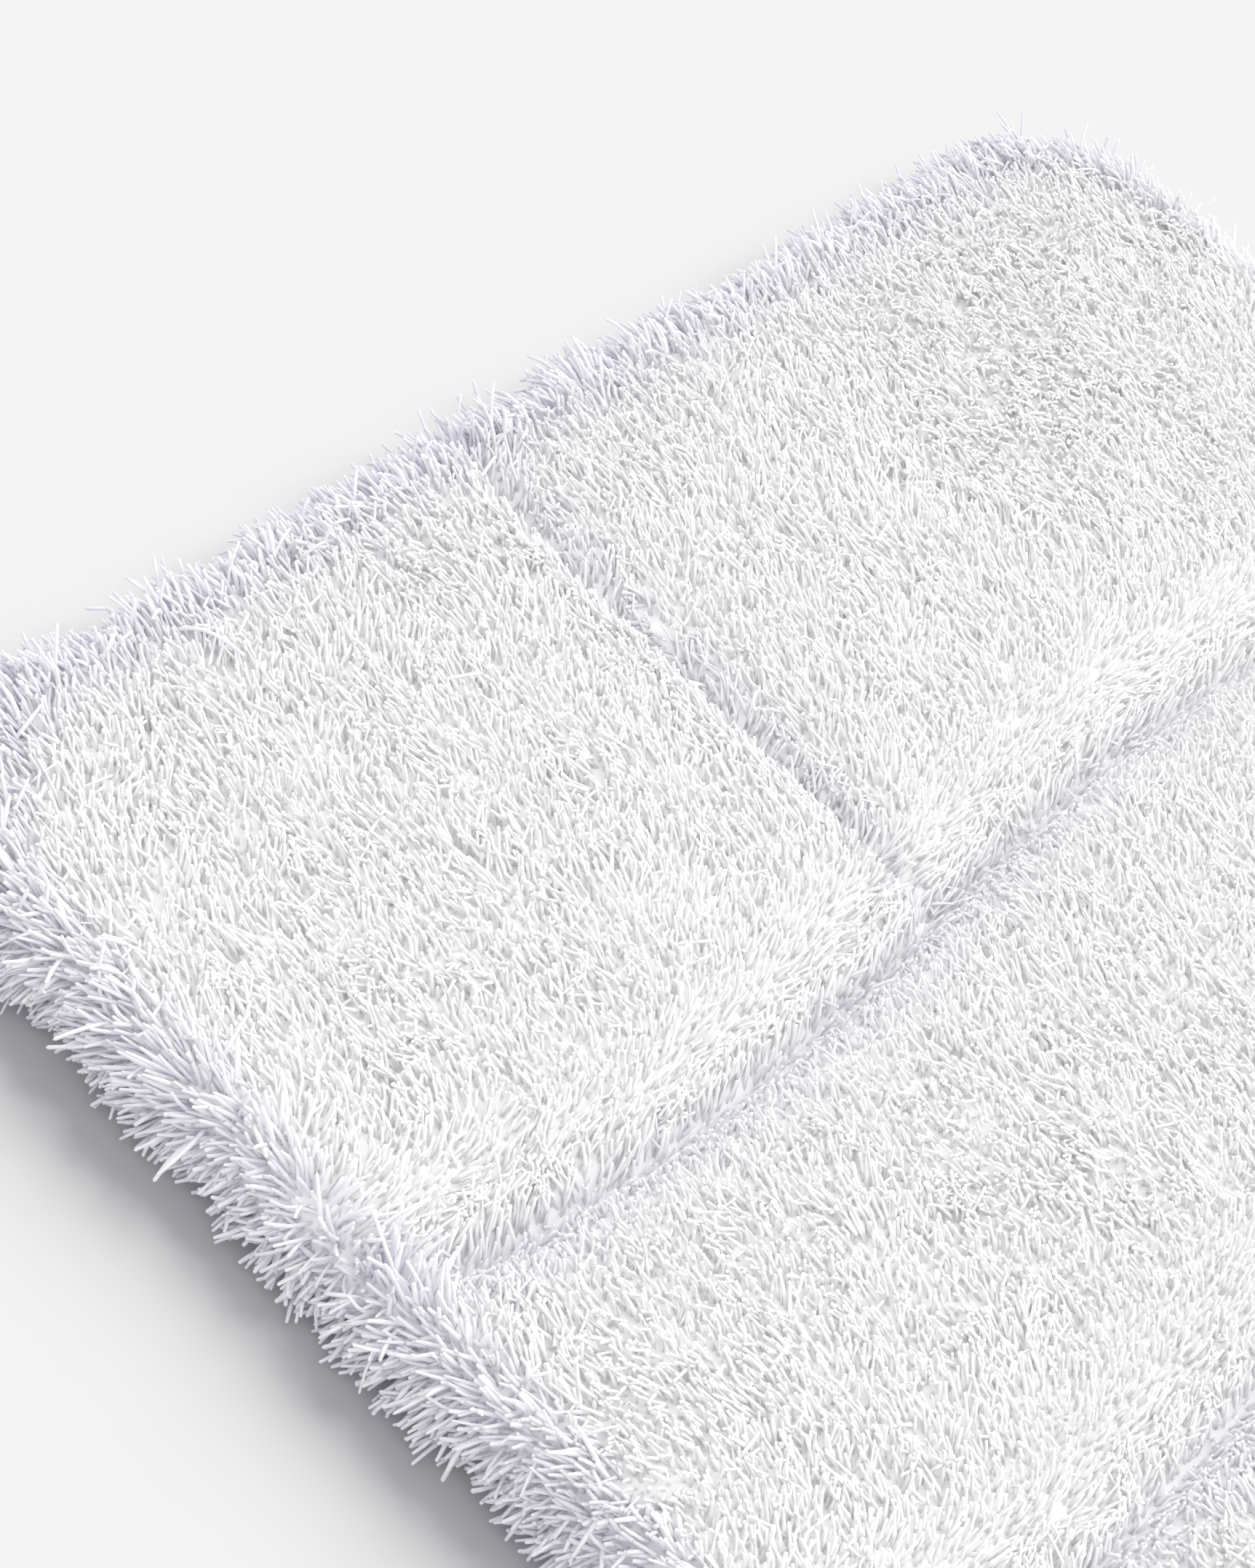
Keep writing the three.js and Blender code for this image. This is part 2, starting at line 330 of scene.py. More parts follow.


# start, middle and end of every yarn on the flat of the mat, and how much painted shade it carries
def topYarns():
    rng = np.random.default_rng(101)
    x, y = scattered(2 * halfWidth, 2 * halfLength, yarn["pitch"], rng)
    x, y = x - halfWidth, y - halfLength
    flat = edgeYarn["bedInset"] + edgeYarn["bedShoulder"]
    keep = insetOf(x, y) > flat
    x, y = x[keep], y[keep]
    count = len(x)
    lx, ly = napAt(x, y)
    tuftX, tuftY, tuftTurn, tuftVary, tuftTall = tuftAt(x, y)
    turn = rng.normal(0, yarn["turnVary"], count) + math.radians(yarn["tuftTurn"]) * tuftTurn
    stretch = rng.normal(1, yarn["leanVary"], count) * (1 + yarn["tuftVary"] * tuftVary)
    stretch = np.clip(stretch, 0.15, 1.9)
    stray = rng.random(count) < yarn["strayShare"]
    turn[stray] = rng.uniform(-yarn["strayTurn"], yarn["strayTurn"], stray.sum())
    lx, ly = lx * stretch, ly * stretch
    lx, ly = lx * np.cos(turn) - ly * np.sin(turn), lx * np.sin(turn) + ly * np.cos(turn)
    reach = yarn["stand"] + yarn["rooted"]
    tall = rng.normal(1, yarn["tallVary"], count) + yarn["tuftTall"] * tuftTall
    stand = reach * np.clip(tall, 0.65, 1.35)
    start = np.stack([x, y, tipTop(x, y) - reach], 1)
    sweep = np.stack([lx * stand, ly * stand, stand], 1)
    sweep[:, 2] += tipTop(x + sweep[:, 0], y + sweep[:, 1]) - tipTop(x, y)
    bow = rng.uniform(0.1, 0.42, count)[:, None]  # how long it stands before it leans over
    middle = start + sweep * np.stack([0.5 - bow[:, 0], 0.5 - bow[:, 0], 0.5 + 0.1 * bow[:, 0]], 1)
    middle += rng.normal(0, 0.45 * mm, (count, 3))
    end = start + sweep
    end[:, 0] += (tuftX - x) * yarn["gather"]
    end[:, 1] += (tuftY - y) * yarn["gather"]
    end[:, 2] = np.minimum(end[:, 2], matHeight + yarn["above"])
    # painted shade from the furrows and the rim
    shade = np.maximum(paintedFurrowShade(end[:, 0], end[:, 1]), paintedEdgeShadeAt(end[:, 0], end[:, 1]))
    return start, middle, end, shade * rng.uniform(*yarn["shadeVary"], count)


# the same for the shoulder and the side of the mat
def sideYarns():
    rng = np.random.default_rng(202)
    shoulder = edgeYarn["bedShoulder"]
    bend = math.pi / 2 * shoulder
    wall = matShape["tipHeight"] - yarn["stand"] - shoulder - edgeYarn["wallFoot"]
    walk, down = scattered(outlineLength(), bend + wall, edgeYarn["pitch"], rng)
    count = len(walk)
    ox, oy, nx, ny = outlineAt(walk)
    theta = np.clip(down / shoulder, 0, math.pi / 2)
    below = np.maximum(down - bend, 0)
    inset = edgeYarn["bedInset"] + shoulder * (1 - np.sin(theta))
    x, y = ox - nx * inset, oy - ny * inset
    top = tipTop(x, y) - yarn["stand"]
    z = top - shoulder * (1 - np.cos(theta))
    wallShare = below / wall
    z = z - wallShare * (z - edgeYarn["wallFoot"])
    out = np.stack([nx, ny, np.zeros(count)], 1)
    up = np.array([0, 0, 1.0])
    normal = out * np.sin(theta)[:, None] + up * np.cos(theta)[:, None]
    lx, ly = napAt(x, y)
    lean = np.stack([lx, ly, np.zeros(count)], 1)
    flatShare = (np.cos(theta) ** 2)[:, None]
    along = np.stack([-ny, nx, np.zeros(count)], 1)
    tilt = (lean * along).sum(1, keepdims=True) * along * 0.45
    clump = softNoise(walk, down, edgeYarn["sideLeanSize"], 31)[:, None]
    droop = edgeYarn["droop"] * (1 + 0.5 * rng.normal(0, 1, (count, 1)) * 0.6)
    aside = edgeYarn["sideLean"] * clump + rng.normal(0, 0.22, (count, 1))
    sideLean = tilt + along * aside - up * droop
    sweep = unit(normal + lean * flatShare + sideLean * (1 - flatShare))
    sweep = unit(sweep + rng.normal(0, 0.2, (count, 3)))
    length = edgeYarn["length"] * np.clip(rng.normal(1, edgeYarn["lengthVary"], count), 0.6, 1.5)
    length *= 1 + edgeYarn["clump"] * softNoise(walk, down, edgeYarn["clumpSize"], 32)
    length += flatShare[:, 0] * edgeYarn["longerOnTop"]
    tousled = (rng.random(count) < edgeYarn["tousledShare"]) & (theta < 1.5)  # none on the wall
    sweep[tousled] = unit(sweep[tousled] + rng.normal(0, 0.6, (tousled.sum(), 3)))
    length[tousled] *= edgeYarn["tousledLonger"]
    start = np.stack([x, y, z], 1) - normal * yarn["rooted"]
    reach = (length + yarn["rooted"])[:, None]
    end = start + sweep * reach
    middle = start + unit(normal * 0.75 + sweep * 0.6) * reach * 0.5
    middle += rng.normal(0, 1, (count, 3)) * np.where(tousled, 1.6 * mm, 0.5 * mm)[:, None]
    lowest = rng.uniform(*edgeYarn["clearOfFloor"], count) * mm
    end[:, 2] = np.clip(end[:, 2], lowest, matHeight + yarn["above"])
    # painted shade: from the rim, more on the wall towards the floor (wallShade), or from a furrow
    shade = paintedEdgeShadeAt(x, y)
    shade = np.maximum(shade + edgeYarn["wallShade"] * wallShare * (1 - shade), paintedFurrowShade(x, y))
    return start, middle, end, np.minimum(shade * rng.uniform(*yarn["shadeVary"], count), 1)


# a curved tube for every yarn or stitch, all in one mesh
def strandMesh(name, start, middle, end, shade, strand, rng):
    count = len(start)
    sides, rings = strand["sides"], strand["rings"]
    t = np.linspace(0, 0.965, rings) ** 0.9  # places of the rings, the last just short of the tip
    a, b, c = ((1 - t) ** 2)[None, :, None], (2 * t * (1 - t))[None, :, None], (t ** 2)[None, :, None]
    path = start[:, None] * a + middle[:, None] * b + end[:, None] * c
    way = (middle - start)[:, None] * (1 - t)[None, :, None] + (end - middle)[:, None] * t[None, :, None]
    way = unit(way)
    chord = unit(end - start)
    aside = unit(np.cross(chord, rng.normal(0, 1, (count, 3))))
    across = unit(np.cross(way, aside[:, None]))
    other = np.cross(way, across)
    width = strand["radius"] * np.clip(rng.normal(1, strand["radiusVary"], count), 0.6, 1.5)
    profile = np.interp(t, [0, 0.5, 0.85, 0.95], [1.0, 1.04, 1.0, 0.84])
    spin = rng.uniform(0, 2 * math.pi, count)[:, None] + strand["twist"] * t[None]
    corner = np.arange(sides) * 2 * math.pi / sides
    squash = 1 - (1 - strand["flatten"]) * np.sin(corner) ** 2
    angle = spin[:, :, None] + corner[None, None]
    radius = width[:, None, None] * profile[None, :, None] * squash[None, None]
    ringPoints = (path[:, :, None]
                  + across[:, :, None] * (np.cos(angle) * radius)[..., None]
                  + other[:, :, None] * (np.sin(angle) * radius)[..., None])
    points = np.concatenate([ringPoints.reshape(count, rings * sides, 3), end[:, None]], 1)
    perYarn = rings * sides + 1

    faces = []
    for ring in range(rings - 1):
        for side in range(sides):
            nextSide = (side + 1) % sides
            low, high = ring * sides, (ring + 1) * sides
            faces.append([low + side, low + nextSide, high + nextSide, high + side])
    faces.append(list(range(sides))[::-1])
    last = (rings - 1) * sides
    faces += [[last + side, last + (side + 1) % sides, perYarn - 1] for side in range(sides)]
    oneYarn = np.array([corner for face in faces for corner in face])
    loops = (oneYarn[None] + (np.arange(count) * perYarn)[:, None]).ravel()
    totals = np.tile([len(face) for face in faces], count)
    starts = np.concatenate([[0], np.cumsum(totals)[:-1]])

    mesh = bpy.data.meshes.new(name)
    mesh.vertices.add(count * perYarn)
    mesh.loops.add(len(loops))
    mesh.polygons.add(len(totals))
    mesh.vertices.foreach_set("co", points.astype(np.float32).ravel())
    mesh.polygons.foreach_set("loop_start", starts.astype(np.int32))
    mesh.loops.foreach_set("vertex_index", loops.astype(np.int32))
    mesh.update(calc_edges=True)
    mesh.shade_smooth()

    # where along its yarn a point lies, and a small difference from yarn to yarn
    along = np.concatenate([np.repeat(t, sides), [1.0]])
    mesh.attributes.new("along", "FLOAT", "POINT").data.foreach_set(
        "value", np.tile(along, count).astype(np.float32))
    mesh.attributes.new("tone", "FLOAT", "POINT").data.foreach_set(
        "value", np.repeat(rng.uniform(-1, 1, count), perYarn).astype(np.float32))
    # and how much painted shade each yarn carries
    mesh.attributes.new("shade", "FLOAT", "POINT").data.foreach_set(
        "value", np.repeat(shade, perYarn).astype(np.float32))
    layStrandMap(mesh, count, rings, sides, t)
    return mesh


# each strand has a cell of its own on the texture map, as wide as it goes round and as tall as it is long
def layStrandMap(mesh, count, rings, sides, t):
    u, v = [], []
    for ring in range(rings - 1):
        for side in range(sides):
            u += [side, side + 1, side + 1, side]
            v += [t[ring], t[ring], t[ring + 1], t[ring + 1]]
    for side in range(sides):
        u.append(0.4 + 0.2 * math.cos(2 * math.pi * side / sides))
        v.append(-0.03 + 0.02 * math.sin(2 * math.pi * side / sides))
    for side in range(sides):
        u += [side, side + 1, side + 0.5]
        v += [t[-1], t[-1], 1.0]
    u, v = np.array(u) / sides, np.array(v)
    cells = math.ceil(math.sqrt(count))
    index = np.arange(count)
    cu, cv = (index % cells)[:, None], (index // cells)[:, None]
    margin = 0.08
    mapU = (cu + margin + (1 - 2 * margin) * u[None]) / cells
    mapV = (cv + margin + (1 - 2 * margin) * v[None]) / cells
    layer = mesh.uv_layers.new(name="OFBake", do_init=False)
    layer.uv.foreach_set("vector", np.stack([mapU, mapV], -1).astype(np.float32).ravel())


def addPiece(mesh, material):
    piece = bpy.data.objects.new(mesh.name, mesh)
    bpy.context.scene.collection.objects.link(piece)
    mesh.materials.append(material)
    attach(piece, "root")
    return piece


def newGroup(name, inputs, outputs):
    group = bpy.data.node_groups.new(name, "ShaderNodeTree")
    for label, kind, value in inputs:
        socket = group.interface.new_socket(label, in_out="INPUT", socket_type=kind)
        socket.default_value = value
    for label, kind in outputs:
        group.interface.new_socket(label, in_out="OUTPUT", socket_type=kind)
    nodes = group.nodes
    return group, nodes.new("NodeGroupInput"), nodes.new("NodeGroupOutput")


def mixColour(nodes, links, blend, amount, first, second):
    node = nodes.new("ShaderNodeMix")
    node.data_type, node.blend_type = "RGBA", blend
    for socket, value in ((node.inputs[0], amount), (node.inputs[6], first), (node.inputs[7], second)):
        if isinstance(value, bpy.types.NodeSocket):
            links.new(value, socket)
        else:
            socket.default_value = value
    return node.outputs[2]


def mathNode(nodes, links, operation, first, second=0.0):
    node = nodes.new("ShaderNodeMath")
    node.operation = operation
    for socket, value in ((node.inputs[0], first), (node.inputs[1], second)):
        if isinstance(value, bpy.types.NodeSocket):
            links.new(value, socket)
        else:
            socket.default_value = value
    return node.outputs[0]


# colour along a yarn: a little darker at the root, a painted shade for the depths between the yarns, bright
# at the tip, no two quite alike
def yarnToneGroup():
    group, given, made = newGroup(
        "yarnTone",
        [("Root", "NodeSocketColor", (0.8, 0.8, 0.8, 1)), ("Tip", "NodeSocketColor", (1, 1, 1, 1)),
         ("Shaded", "NodeSocketColor", (0.9, 0.9, 0.9, 1)), ("Vary", "NodeSocketFloat", 0.04)],
        [("Colour", "NodeSocketColor")])
    nodes, links = group.nodes, group.links
    along, tone, shade = (nodes.new("ShaderNodeAttribute") for _ in range(3))
    along.attribute_name, tone.attribute_name, shade.attribute_name = "along", "tone", "shade"
    rise = mathNode(nodes, links, "POWER", along.outputs["Fac"], 0.7)
    colour = mixColour(nodes, links, "MIX", rise, given.outputs["Root"], given.outputs["Tip"])
    # painted shade: the colour turns to the shade colour as far as the yarn's shade attribute says
    colour = mixColour(nodes, links, "MIX", shade.outputs["Fac"], colour, given.outputs["Shaded"])
    vary = mathNode(nodes, links, "MULTIPLY", tone.outputs["Fac"], given.outputs["Vary"])
    scale = mathNode(nodes, links, "ADD", vary, 1.0)
    grey = nodes.new("ShaderNodeCombineColor")
    for socket in grey.inputs:
        links.new(scale, socket)
    links.new(mixColour(nodes, links, "MULTIPLY", 1.0, colour, grey.outputs[0]), made.inputs[0])
    return group


# woven threads over and under each other, counted in threads; Repeat is 2 for a plain weave, 4 for a twill
def weaveGroup():
    group, given, made = newGroup(
        "weave",
        [("Thread", "NodeSocketFloat", 0.5 * mm), ("Repeat", "NodeSocketFloat", 2.0),
         ("Dark", "NodeSocketColor", (0.7, 0.7, 0.7, 1)), ("Light", "NodeSocketColor", (0.9, 0.9, 0.9, 1))],
        [("Colour", "NodeSocketColor"), ("Height", "NodeSocketFloat")])
    nodes, links = group.nodes, group.links
    place, split = nodes.new("ShaderNodeTexCoord"), nodes.new("ShaderNodeSeparateXYZ")
    links.new(place.outputs["Object"], split.inputs[0])
    rounds, counts = [], []
    for axis in (0, 1):
        count = mathNode(nodes, links, "DIVIDE", split.outputs[axis], given.outputs["Thread"])
        wave = mathNode(nodes, links, "SINE", mathNode(nodes, links, "MULTIPLY", count, math.pi))
        rounds.append(mathNode(nodes, links, "ABSOLUTE", wave))
        counts.append(mathNode(nodes, links, "FLOOR", count))
    step = mathNode(nodes, links, "ADD", counts[0], counts[1])
    step = mathNode(nodes, links, "FLOORED_MODULO", step, given.outputs["Repeat"])
    half = mathNode(nodes, links, "MULTIPLY", given.outputs["Repeat"], 0.5)
    over = mathNode(nodes, links, "LESS_THAN", step, half)
    lift = nodes.new("ShaderNodeMix")
    links.new(over, lift.inputs[0])
    links.new(rounds[0], lift.inputs[2])
    links.new(rounds[1], lift.inputs[3])
    links.new(lift.outputs[0], made.inputs["Height"])
    patch = nodes.new("ShaderNodeTexNoise")
    patch.inputs["Scale"].default_value = 60.0
    links.new(place.outputs["Object"], patch.inputs["Vector"])
    # random patches on the thread tops; times lift, the colour falls to Dark where a thread rounds down
    # between threads, a painted shade
    shade = mathNode(nodes, links, "MULTIPLY", patch.outputs["Fac"], 0.6)
    amount = mathNode(nodes, links, "MULTIPLY", mathNode(nodes, links, "ADD", shade, 0.6), lift.outputs[0])
    colour = mixColour(nodes, links, "MIX", amount, given.outputs["Dark"], given.outputs["Light"])
    links.new(colour, made.inputs["Colour"])
    return group


# the clouded, faintly pitted surface of spread rubber
def mottleGroup():
    group, given, made = newGroup(
        "mottle",
        [("Grain", "NodeSocketFloat", 400.0), ("Cloud", "NodeSocketFloat", 30.0),
         ("Dark", "NodeSocketColor", (0.7, 0.7, 0.7, 1)), ("Light", "NodeSocketColor", (0.9, 0.9, 0.9, 1))],
        [("Colour", "NodeSocketColor"), ("Height", "NodeSocketFloat")])
    nodes, links = group.nodes, group.links
    place = nodes.new("ShaderNodeTexCoord")
    grain, cloud = nodes.new("ShaderNodeTexNoise"), nodes.new("ShaderNodeTexNoise")
    for noise, size in ((grain, "Grain"), (cloud, "Cloud")):
        links.new(place.outputs["Object"], noise.inputs["Vector"])
        links.new(given.outputs[size], noise.inputs["Scale"])
    both = mathNode(nodes, links, "ADD", grain.outputs["Fac"], cloud.outputs["Fac"])
    both = mathNode(nodes, links, "MULTIPLY", both, 0.5)
    colour = mixColour(nodes, links, "MIX", both, given.outputs["Dark"], given.outputs["Light"])
    links.new(colour, made.inputs["Colour"])
    links.new(grain.outputs["Fac"], made.inputs["Height"])
    return group


def newMaterial(name):
    material = bpy.data.materials.new(name)
    material.use_nodes = True
    nodes, links = material.node_tree.nodes, material.node_tree.links
    return material, nodes, links, nodes["Principled BSDF"]


# a strand's material: soft, with light carried through it
def strandMaterial(name, group, look):
    material, nodes, links, shader = newMaterial(name)
    tone = nodes.new("ShaderNodeGroup")
    tone.node_tree = group
    tone.inputs["Root"].default_value = look["root"]
    tone.inputs["Tip"].default_value = look["tip"]
    tone.inputs["Shaded"].default_value = look["paintedShade"]
    tone.inputs["Vary"].default_value = look["vary"]
    links.new(tone.outputs["Colour"], shader.inputs["Base Color"])
    shader.inputs["Roughness"].default_value = look["roughness"]
    shader.inputs["Specular IOR Level"].default_value = 0.25
    shader.inputs["Sheen Weight"].default_value = look["sheen"]
    shader.inputs["Sheen Roughness"].default_value = 0.5
    shader.inputs["Subsurface Weight"].default_value = look["inside"]
    shader.inputs["Subsurface Radius"].default_value = (1.0, 1.0, 1.0)
    shader.inputs["Subsurface Scale"].default_value = 1.2 * mm
    return material


# a material whose colour and relief come from the weave or the mottle
def surfaceMaterial(name, group, values, look):
    material, nodes, links, shader = newMaterial(name)
    surface = nodes.new("ShaderNodeGroup")
    surface.node_tree = group
    for label, value in values.items():
        surface.inputs[label].default_value = value
    bump = nodes.new("ShaderNodeBump")
    bump.inputs["Strength"].default_value = look["relief"]
    bump.inputs["Distance"].default_value = look["depth"]
    links.new(surface.outputs["Height"], bump.inputs["Height"])
    links.new(surface.outputs["Colour"], shader.inputs["Base Color"])
    links.new(bump.outputs["Normal"], shader.inputs["Normal"])
    shader.inputs["Roughness"].default_value = look["roughness"]
    shader.inputs["Specular IOR Level"].default_value = look["gloss"]
    shader.inputs["Sheen Weight"].default_value = look["sheen"]
    return material


# the yarns' shade colour is painted shade, a cool grey-lavender for the furrows and the rim
yarnLook = {"root": (0.982, 0.981, 0.978, 1), "tip": (0.99, 0.99, 0.99, 1), "vary": 0.009,
            "paintedShade": (0.66, 0.65, 0.76, 1), "roughness": 0.85, "sheen": 0.12, "inside": 0.7}
threadLook = {"root": (0.86, 0.86, 0.87, 1), "tip": (0.92, 0.92, 0.92, 1), "vary": 0.03,
              "paintedShade": (0.8, 0.8, 0.8, 1), "roughness": 0.55, "sheen": 0.15, "inside": 0.2}
tapeWeave = {"Thread": 0.55 * mm, "Repeat": 4.0,
             "Dark": (0.68, 0.68, 0.69, 1), "Light": (0.90, 0.90, 0.91, 1)}
clothWeave = {"Thread": 1.4 * mm, "Repeat": 2.0,
              "Dark": (0.52, 0.50, 0.46, 1), "Light": (0.84, 0.82, 0.78, 1)}
labelWeave = {"Thread": 0.22 * mm, "Repeat": 4.0,
              "Dark": (0.80, 0.80, 0.81, 1), "Light": (0.94, 0.94, 0.94, 1)}
latexMottle = {"Grain": 700.0, "Cloud": 45.0,
               "Dark": (0.62, 0.58, 0.50, 1), "Light": (0.82, 0.78, 0.69, 1)}
rubberMottle = {"Grain": 900.0, "Cloud": 25.0,
                "Dark": (0.66, 0.66, 0.65, 1), "Light": (0.83, 0.83, 0.82, 1)}
clothFinish = {"relief": 0.8, "depth": 0.3 * mm, "roughness": 0.7, "gloss": 0.25, "sheen": 0.1}
tapeFinish = {"relief": 0.7, "depth": 0.12 * mm, "roughness": 0.6, "gloss": 0.3, "sheen": 0.2}
labelFinish = {"relief": 0.4, "depth": 0.05 * mm, "roughness": 0.4, "gloss": 0.4, "sheen": 0.2}
latexFinish = {"relief": 0.6, "depth": 0.2 * mm, "roughness": 0.6, "gloss": 0.35, "sheen": 0.0}
rubberFinish = {"relief": 0.35, "depth": 0.08 * mm, "roughness": 0.48, "gloss": 0.4, "sheen": 0.0}


print("materials")
yarnTone, weave, mottle = yarnToneGroup(), weaveGroup(), mottleGroup()
pileYarn = strandMaterial("pileYarn", yarnTone, yarnLook)
sewingThread = strandMaterial("sewingThread", yarnTone, threadLook)
bindingTape = surfaceMaterial("bindingTape", weave, tapeWeave, tapeFinish)
tuftingCloth = surfaceMaterial("tuftingCloth", weave, clothWeave, clothFinish)
labelRibbon = surfaceMaterial("labelRibbon", weave, labelWeave, labelFinish)
latexCoat = surfaceMaterial("latexCoat", mottle, latexMottle, latexFinish)
antiSlipRubber = surfaceMaterial("antiSlipRubber", mottle, rubberMottle, rubberFinish)

print("pile yarns")


def addYarns(name, yarns, place, bands, strand, rng):
    order = np.clip((place * bands).astype(int), 0, bands - 1)
    for band in range(bands):
        mine = order == band
        mesh = strandMesh(f"{name}_{band + 1:02d}", *(part[mine] for part in yarns), strand, rng)
        addPiece(mesh, pileYarn)
    print(name, len(yarns[0]), "yarns")


rng = np.random.default_rng(303)
top = topYarns()
acrossMat = (top[0][:, 0] + halfWidth) / (2 * halfWidth)
addYarns("pile_yarns", top, acrossMat, yarn["strips"], yarnStrand, rng)
sides = sideYarns()
turnRound = (np.arctan2(sides[0][:, 0], sides[0][:, 1]) / math.pi + 1) / 2
addYarns("edge_yarns", sides, turnRound, edgeYarn["strips"], edgeStrand, rng)

bed = {"columns": 190, "rows": 300, "wallRows": 4,
       "rough": 0.6 * mm, "roughSize": 2.2 * mm, "sunk": 0.8 * mm,
       "foot": 6.3 * mm, "leastThick": 0.5 * mm}  # it stays this thick under the deepest furrow


def bedMesh():
    inset = edgeYarn["bedInset"]
    shoulder = edgeYarn["bedShoulder"]
    w, l = halfWidth - inset, halfLength - inset
    r = matShape["cornerRadius"] - inset
    gx, gy = np.meshgrid(np.linspace(-1, 1, bed["columns"]), np.linspace(-1, 1, bed["rows"]), indexing="ij")
    x, y = gx * w, gy * l
    qx, qy = np.abs(x) - (w - r), np.abs(y) - (l - r)
    corner = (qx > 0) & (qy > 0)
    far = np.maximum(np.hypot(qx, qy), 1e-9)
    fit = np.where(corner, np.maximum(qx, qy) / far, 1)
    x = np.where(corner, np.sign(x) * (w - r + qx * fit), x)
    y = np.where(corner, np.sign(y) * (l - r + qy * fit), y)
    d = np.clip(insetOf(x, y) - inset, 0, shoulder)
    rounded = shoulder - np.sqrt(np.maximum(shoulder ** 2 - (shoulder - d) ** 2, 0))
    z = tipTop(x, y) - yarn["stand"] - rounded
    z += (bed["rough"] * softNoise(x, y, bed["roughSize"], 41) - bed["sunk"]) * (d > 0)
    z = np.maximum(z, bed["foot"] + bed["leastThick"])
    columns, rows = bed["columns"], bed["rows"]
    points = np.stack([x, y, z], -1).reshape(-1, 3)
    index = np.arange(columns * rows).reshape(columns, rows)
    faces = np.stack([index[:-1, :-1], index[1:, :-1], index[1:, 1:], index[:-1, 1:]], -1).reshape(-1, 4)
    rim = np.concatenate([index[:-1, 0], index[-1, :-1], index[1:, -1][::-1], index[0, 1:][::-1]])
    foot = bed["foot"]
    allPoints, allFaces, ring = [points], [faces], rim
    nextIndex = len(points)
    for row in range(1, bed["wallRows"] + 1):
        share = row / bed["wallRows"]
        level = points[rim].copy()
        level[:, 2] = level[:, 2] * (1 - share) + foot * share
        allPoints.append(level)
        newRing = np.arange(nextIndex, nextIndex + len(rim))
        nextIndex += len(rim)
        allFaces.append(np.stack([ring, newRing, np.roll(newRing, -1), np.roll(ring, -1)], -1))
        ring = newRing
    mesh = bpy.data.meshes.new("pile_bed")
    faceList = np.concatenate(allFaces).tolist() + [ring[::-1].tolist()]
    mesh.from_pydata(np.concatenate(allPoints).tolist(), [], faceList)
    mesh.update()
    mesh.shade_smooth()
    return mesh


pileBed = addPiece(bedMesh(), pileYarn)
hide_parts("pile")

print("cloth, latex and binding")
for node, material in (("tufting_cloth", tuftingCloth), ("latex_coat", latexCoat),
                       ("edge_binding", bindingTape)):
    bpy.data.objects[node].data.materials.clear()
    bpy.data.objects[node].data.materials.append(material)

# the rubber under the mat: a thin sheet with rows of small grips
rubber = {"pitch": 12 * mm, "rowPitch": 12 * mm * 0.866, "fromEdge": 29 * mm, "labelGap": 4 * mm,
          "thickness": 0.8 * mm, "rootedDeep": 0.05 * mm, "rimPoints": 240, "sides": 8,
          "profile": [(2.2 * mm, 0.0), (2.0 * mm, 0.55), (1.2 * mm, 0.93)]}  # radius, share of the way down


def rubberMesh():
    low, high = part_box("anti_slip_backing")
    _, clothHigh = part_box("latex_coat")
    labelLow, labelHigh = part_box("care_label")
    inset = halfWidth - clothHigh.x
    sheetLow = high.z - rubber["thickness"]
    walk = np.linspace(0, outlineLength(inset), rubber["rimPoints"], endpoint=False)
    x, y, _, _ = outlineAt(walk, inset)
    points, faces = [], []
    for level in (sheetLow, high.z):
        points += [(px, py, level) for px, py in zip(x, y)]
    count = len(x)
    faces.append(list(range(count))[::-1])
    faces.append(list(range(count, 2 * count)))
    faces += [[i, (i + 1) % count, count + (i + 1) % count, count + i] for i in range(count)]
    rows = int(2 * halfLength / rubber["rowPitch"])
    for row in range(-rows // 2, rows // 2 + 1):
        for column in range(-30, 31):
            cx = (column + 0.5 * (row % 2)) * rubber["pitch"]
            cy = row * rubber["rowPitch"]
            gap = rubber["labelGap"]
            besideX = labelLow.x - gap < cx < labelHigh.x + gap
            underLabel = besideX and labelLow.y - gap < cy < labelHigh.y + gap
            if insetOf(np.array(cx), np.array(cy)) < rubber["fromEdge"] or underLabel:
                continue
            first, sides = len(points), rubber["sides"]
            for radius, share in rubber["profile"]:
                z = sheetLow * (1 - share) + low.z * share
                z += rubber["rootedDeep"] if share == 0 else 0
                for side in range(sides):
                    angle = 2 * math.pi * side / sides
                    points.append((cx + radius * math.cos(angle), cy + radius * math.sin(angle), z))
            points.append((cx, cy, low.z))
            for ring in range(len(rubber["profile"]) - 1):
                for side in range(sides):
                    a = first + ring * sides + side
                    b = first + ring * sides + (side + 1) % sides
                    faces.append([b, a, a + sides, b + sides])
            last = first + (len(rubber["profile"]) - 1) * sides
            faces += [[last + (side + 1) % sides, last + side, len(points) - 1] for side in range(sides)]
            faces.append([first + side for side in range(sides)])
    mesh = bpy.data.meshes.new("dotted_rubber")
    mesh.from_pydata(points, [], faces)
    mesh.polygons.foreach_set("use_smooth", [len(face) < 5 and i > count for i, face in enumerate(faces)])
    mesh.update()
    return mesh


print("rubber")
dottedRubber = addPiece(rubberMesh(), antiSlipRubber)
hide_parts("anti_slip_backing")

# lockstitch through the binding: needle thread above it, bobbin thread below
stitch = {"pitch": 3.2 * mm, "gap": 0.35 * mm, "sink": 0.15 * mm, "vary": 0.04 * mm, "arch": 0.75 * mm}
threadStrand = {"radius": 0.2 * mm, "radiusVary": 0.05, "flatten": 0.9, "sides": 6, "rings": 7, "twist": 6.0}


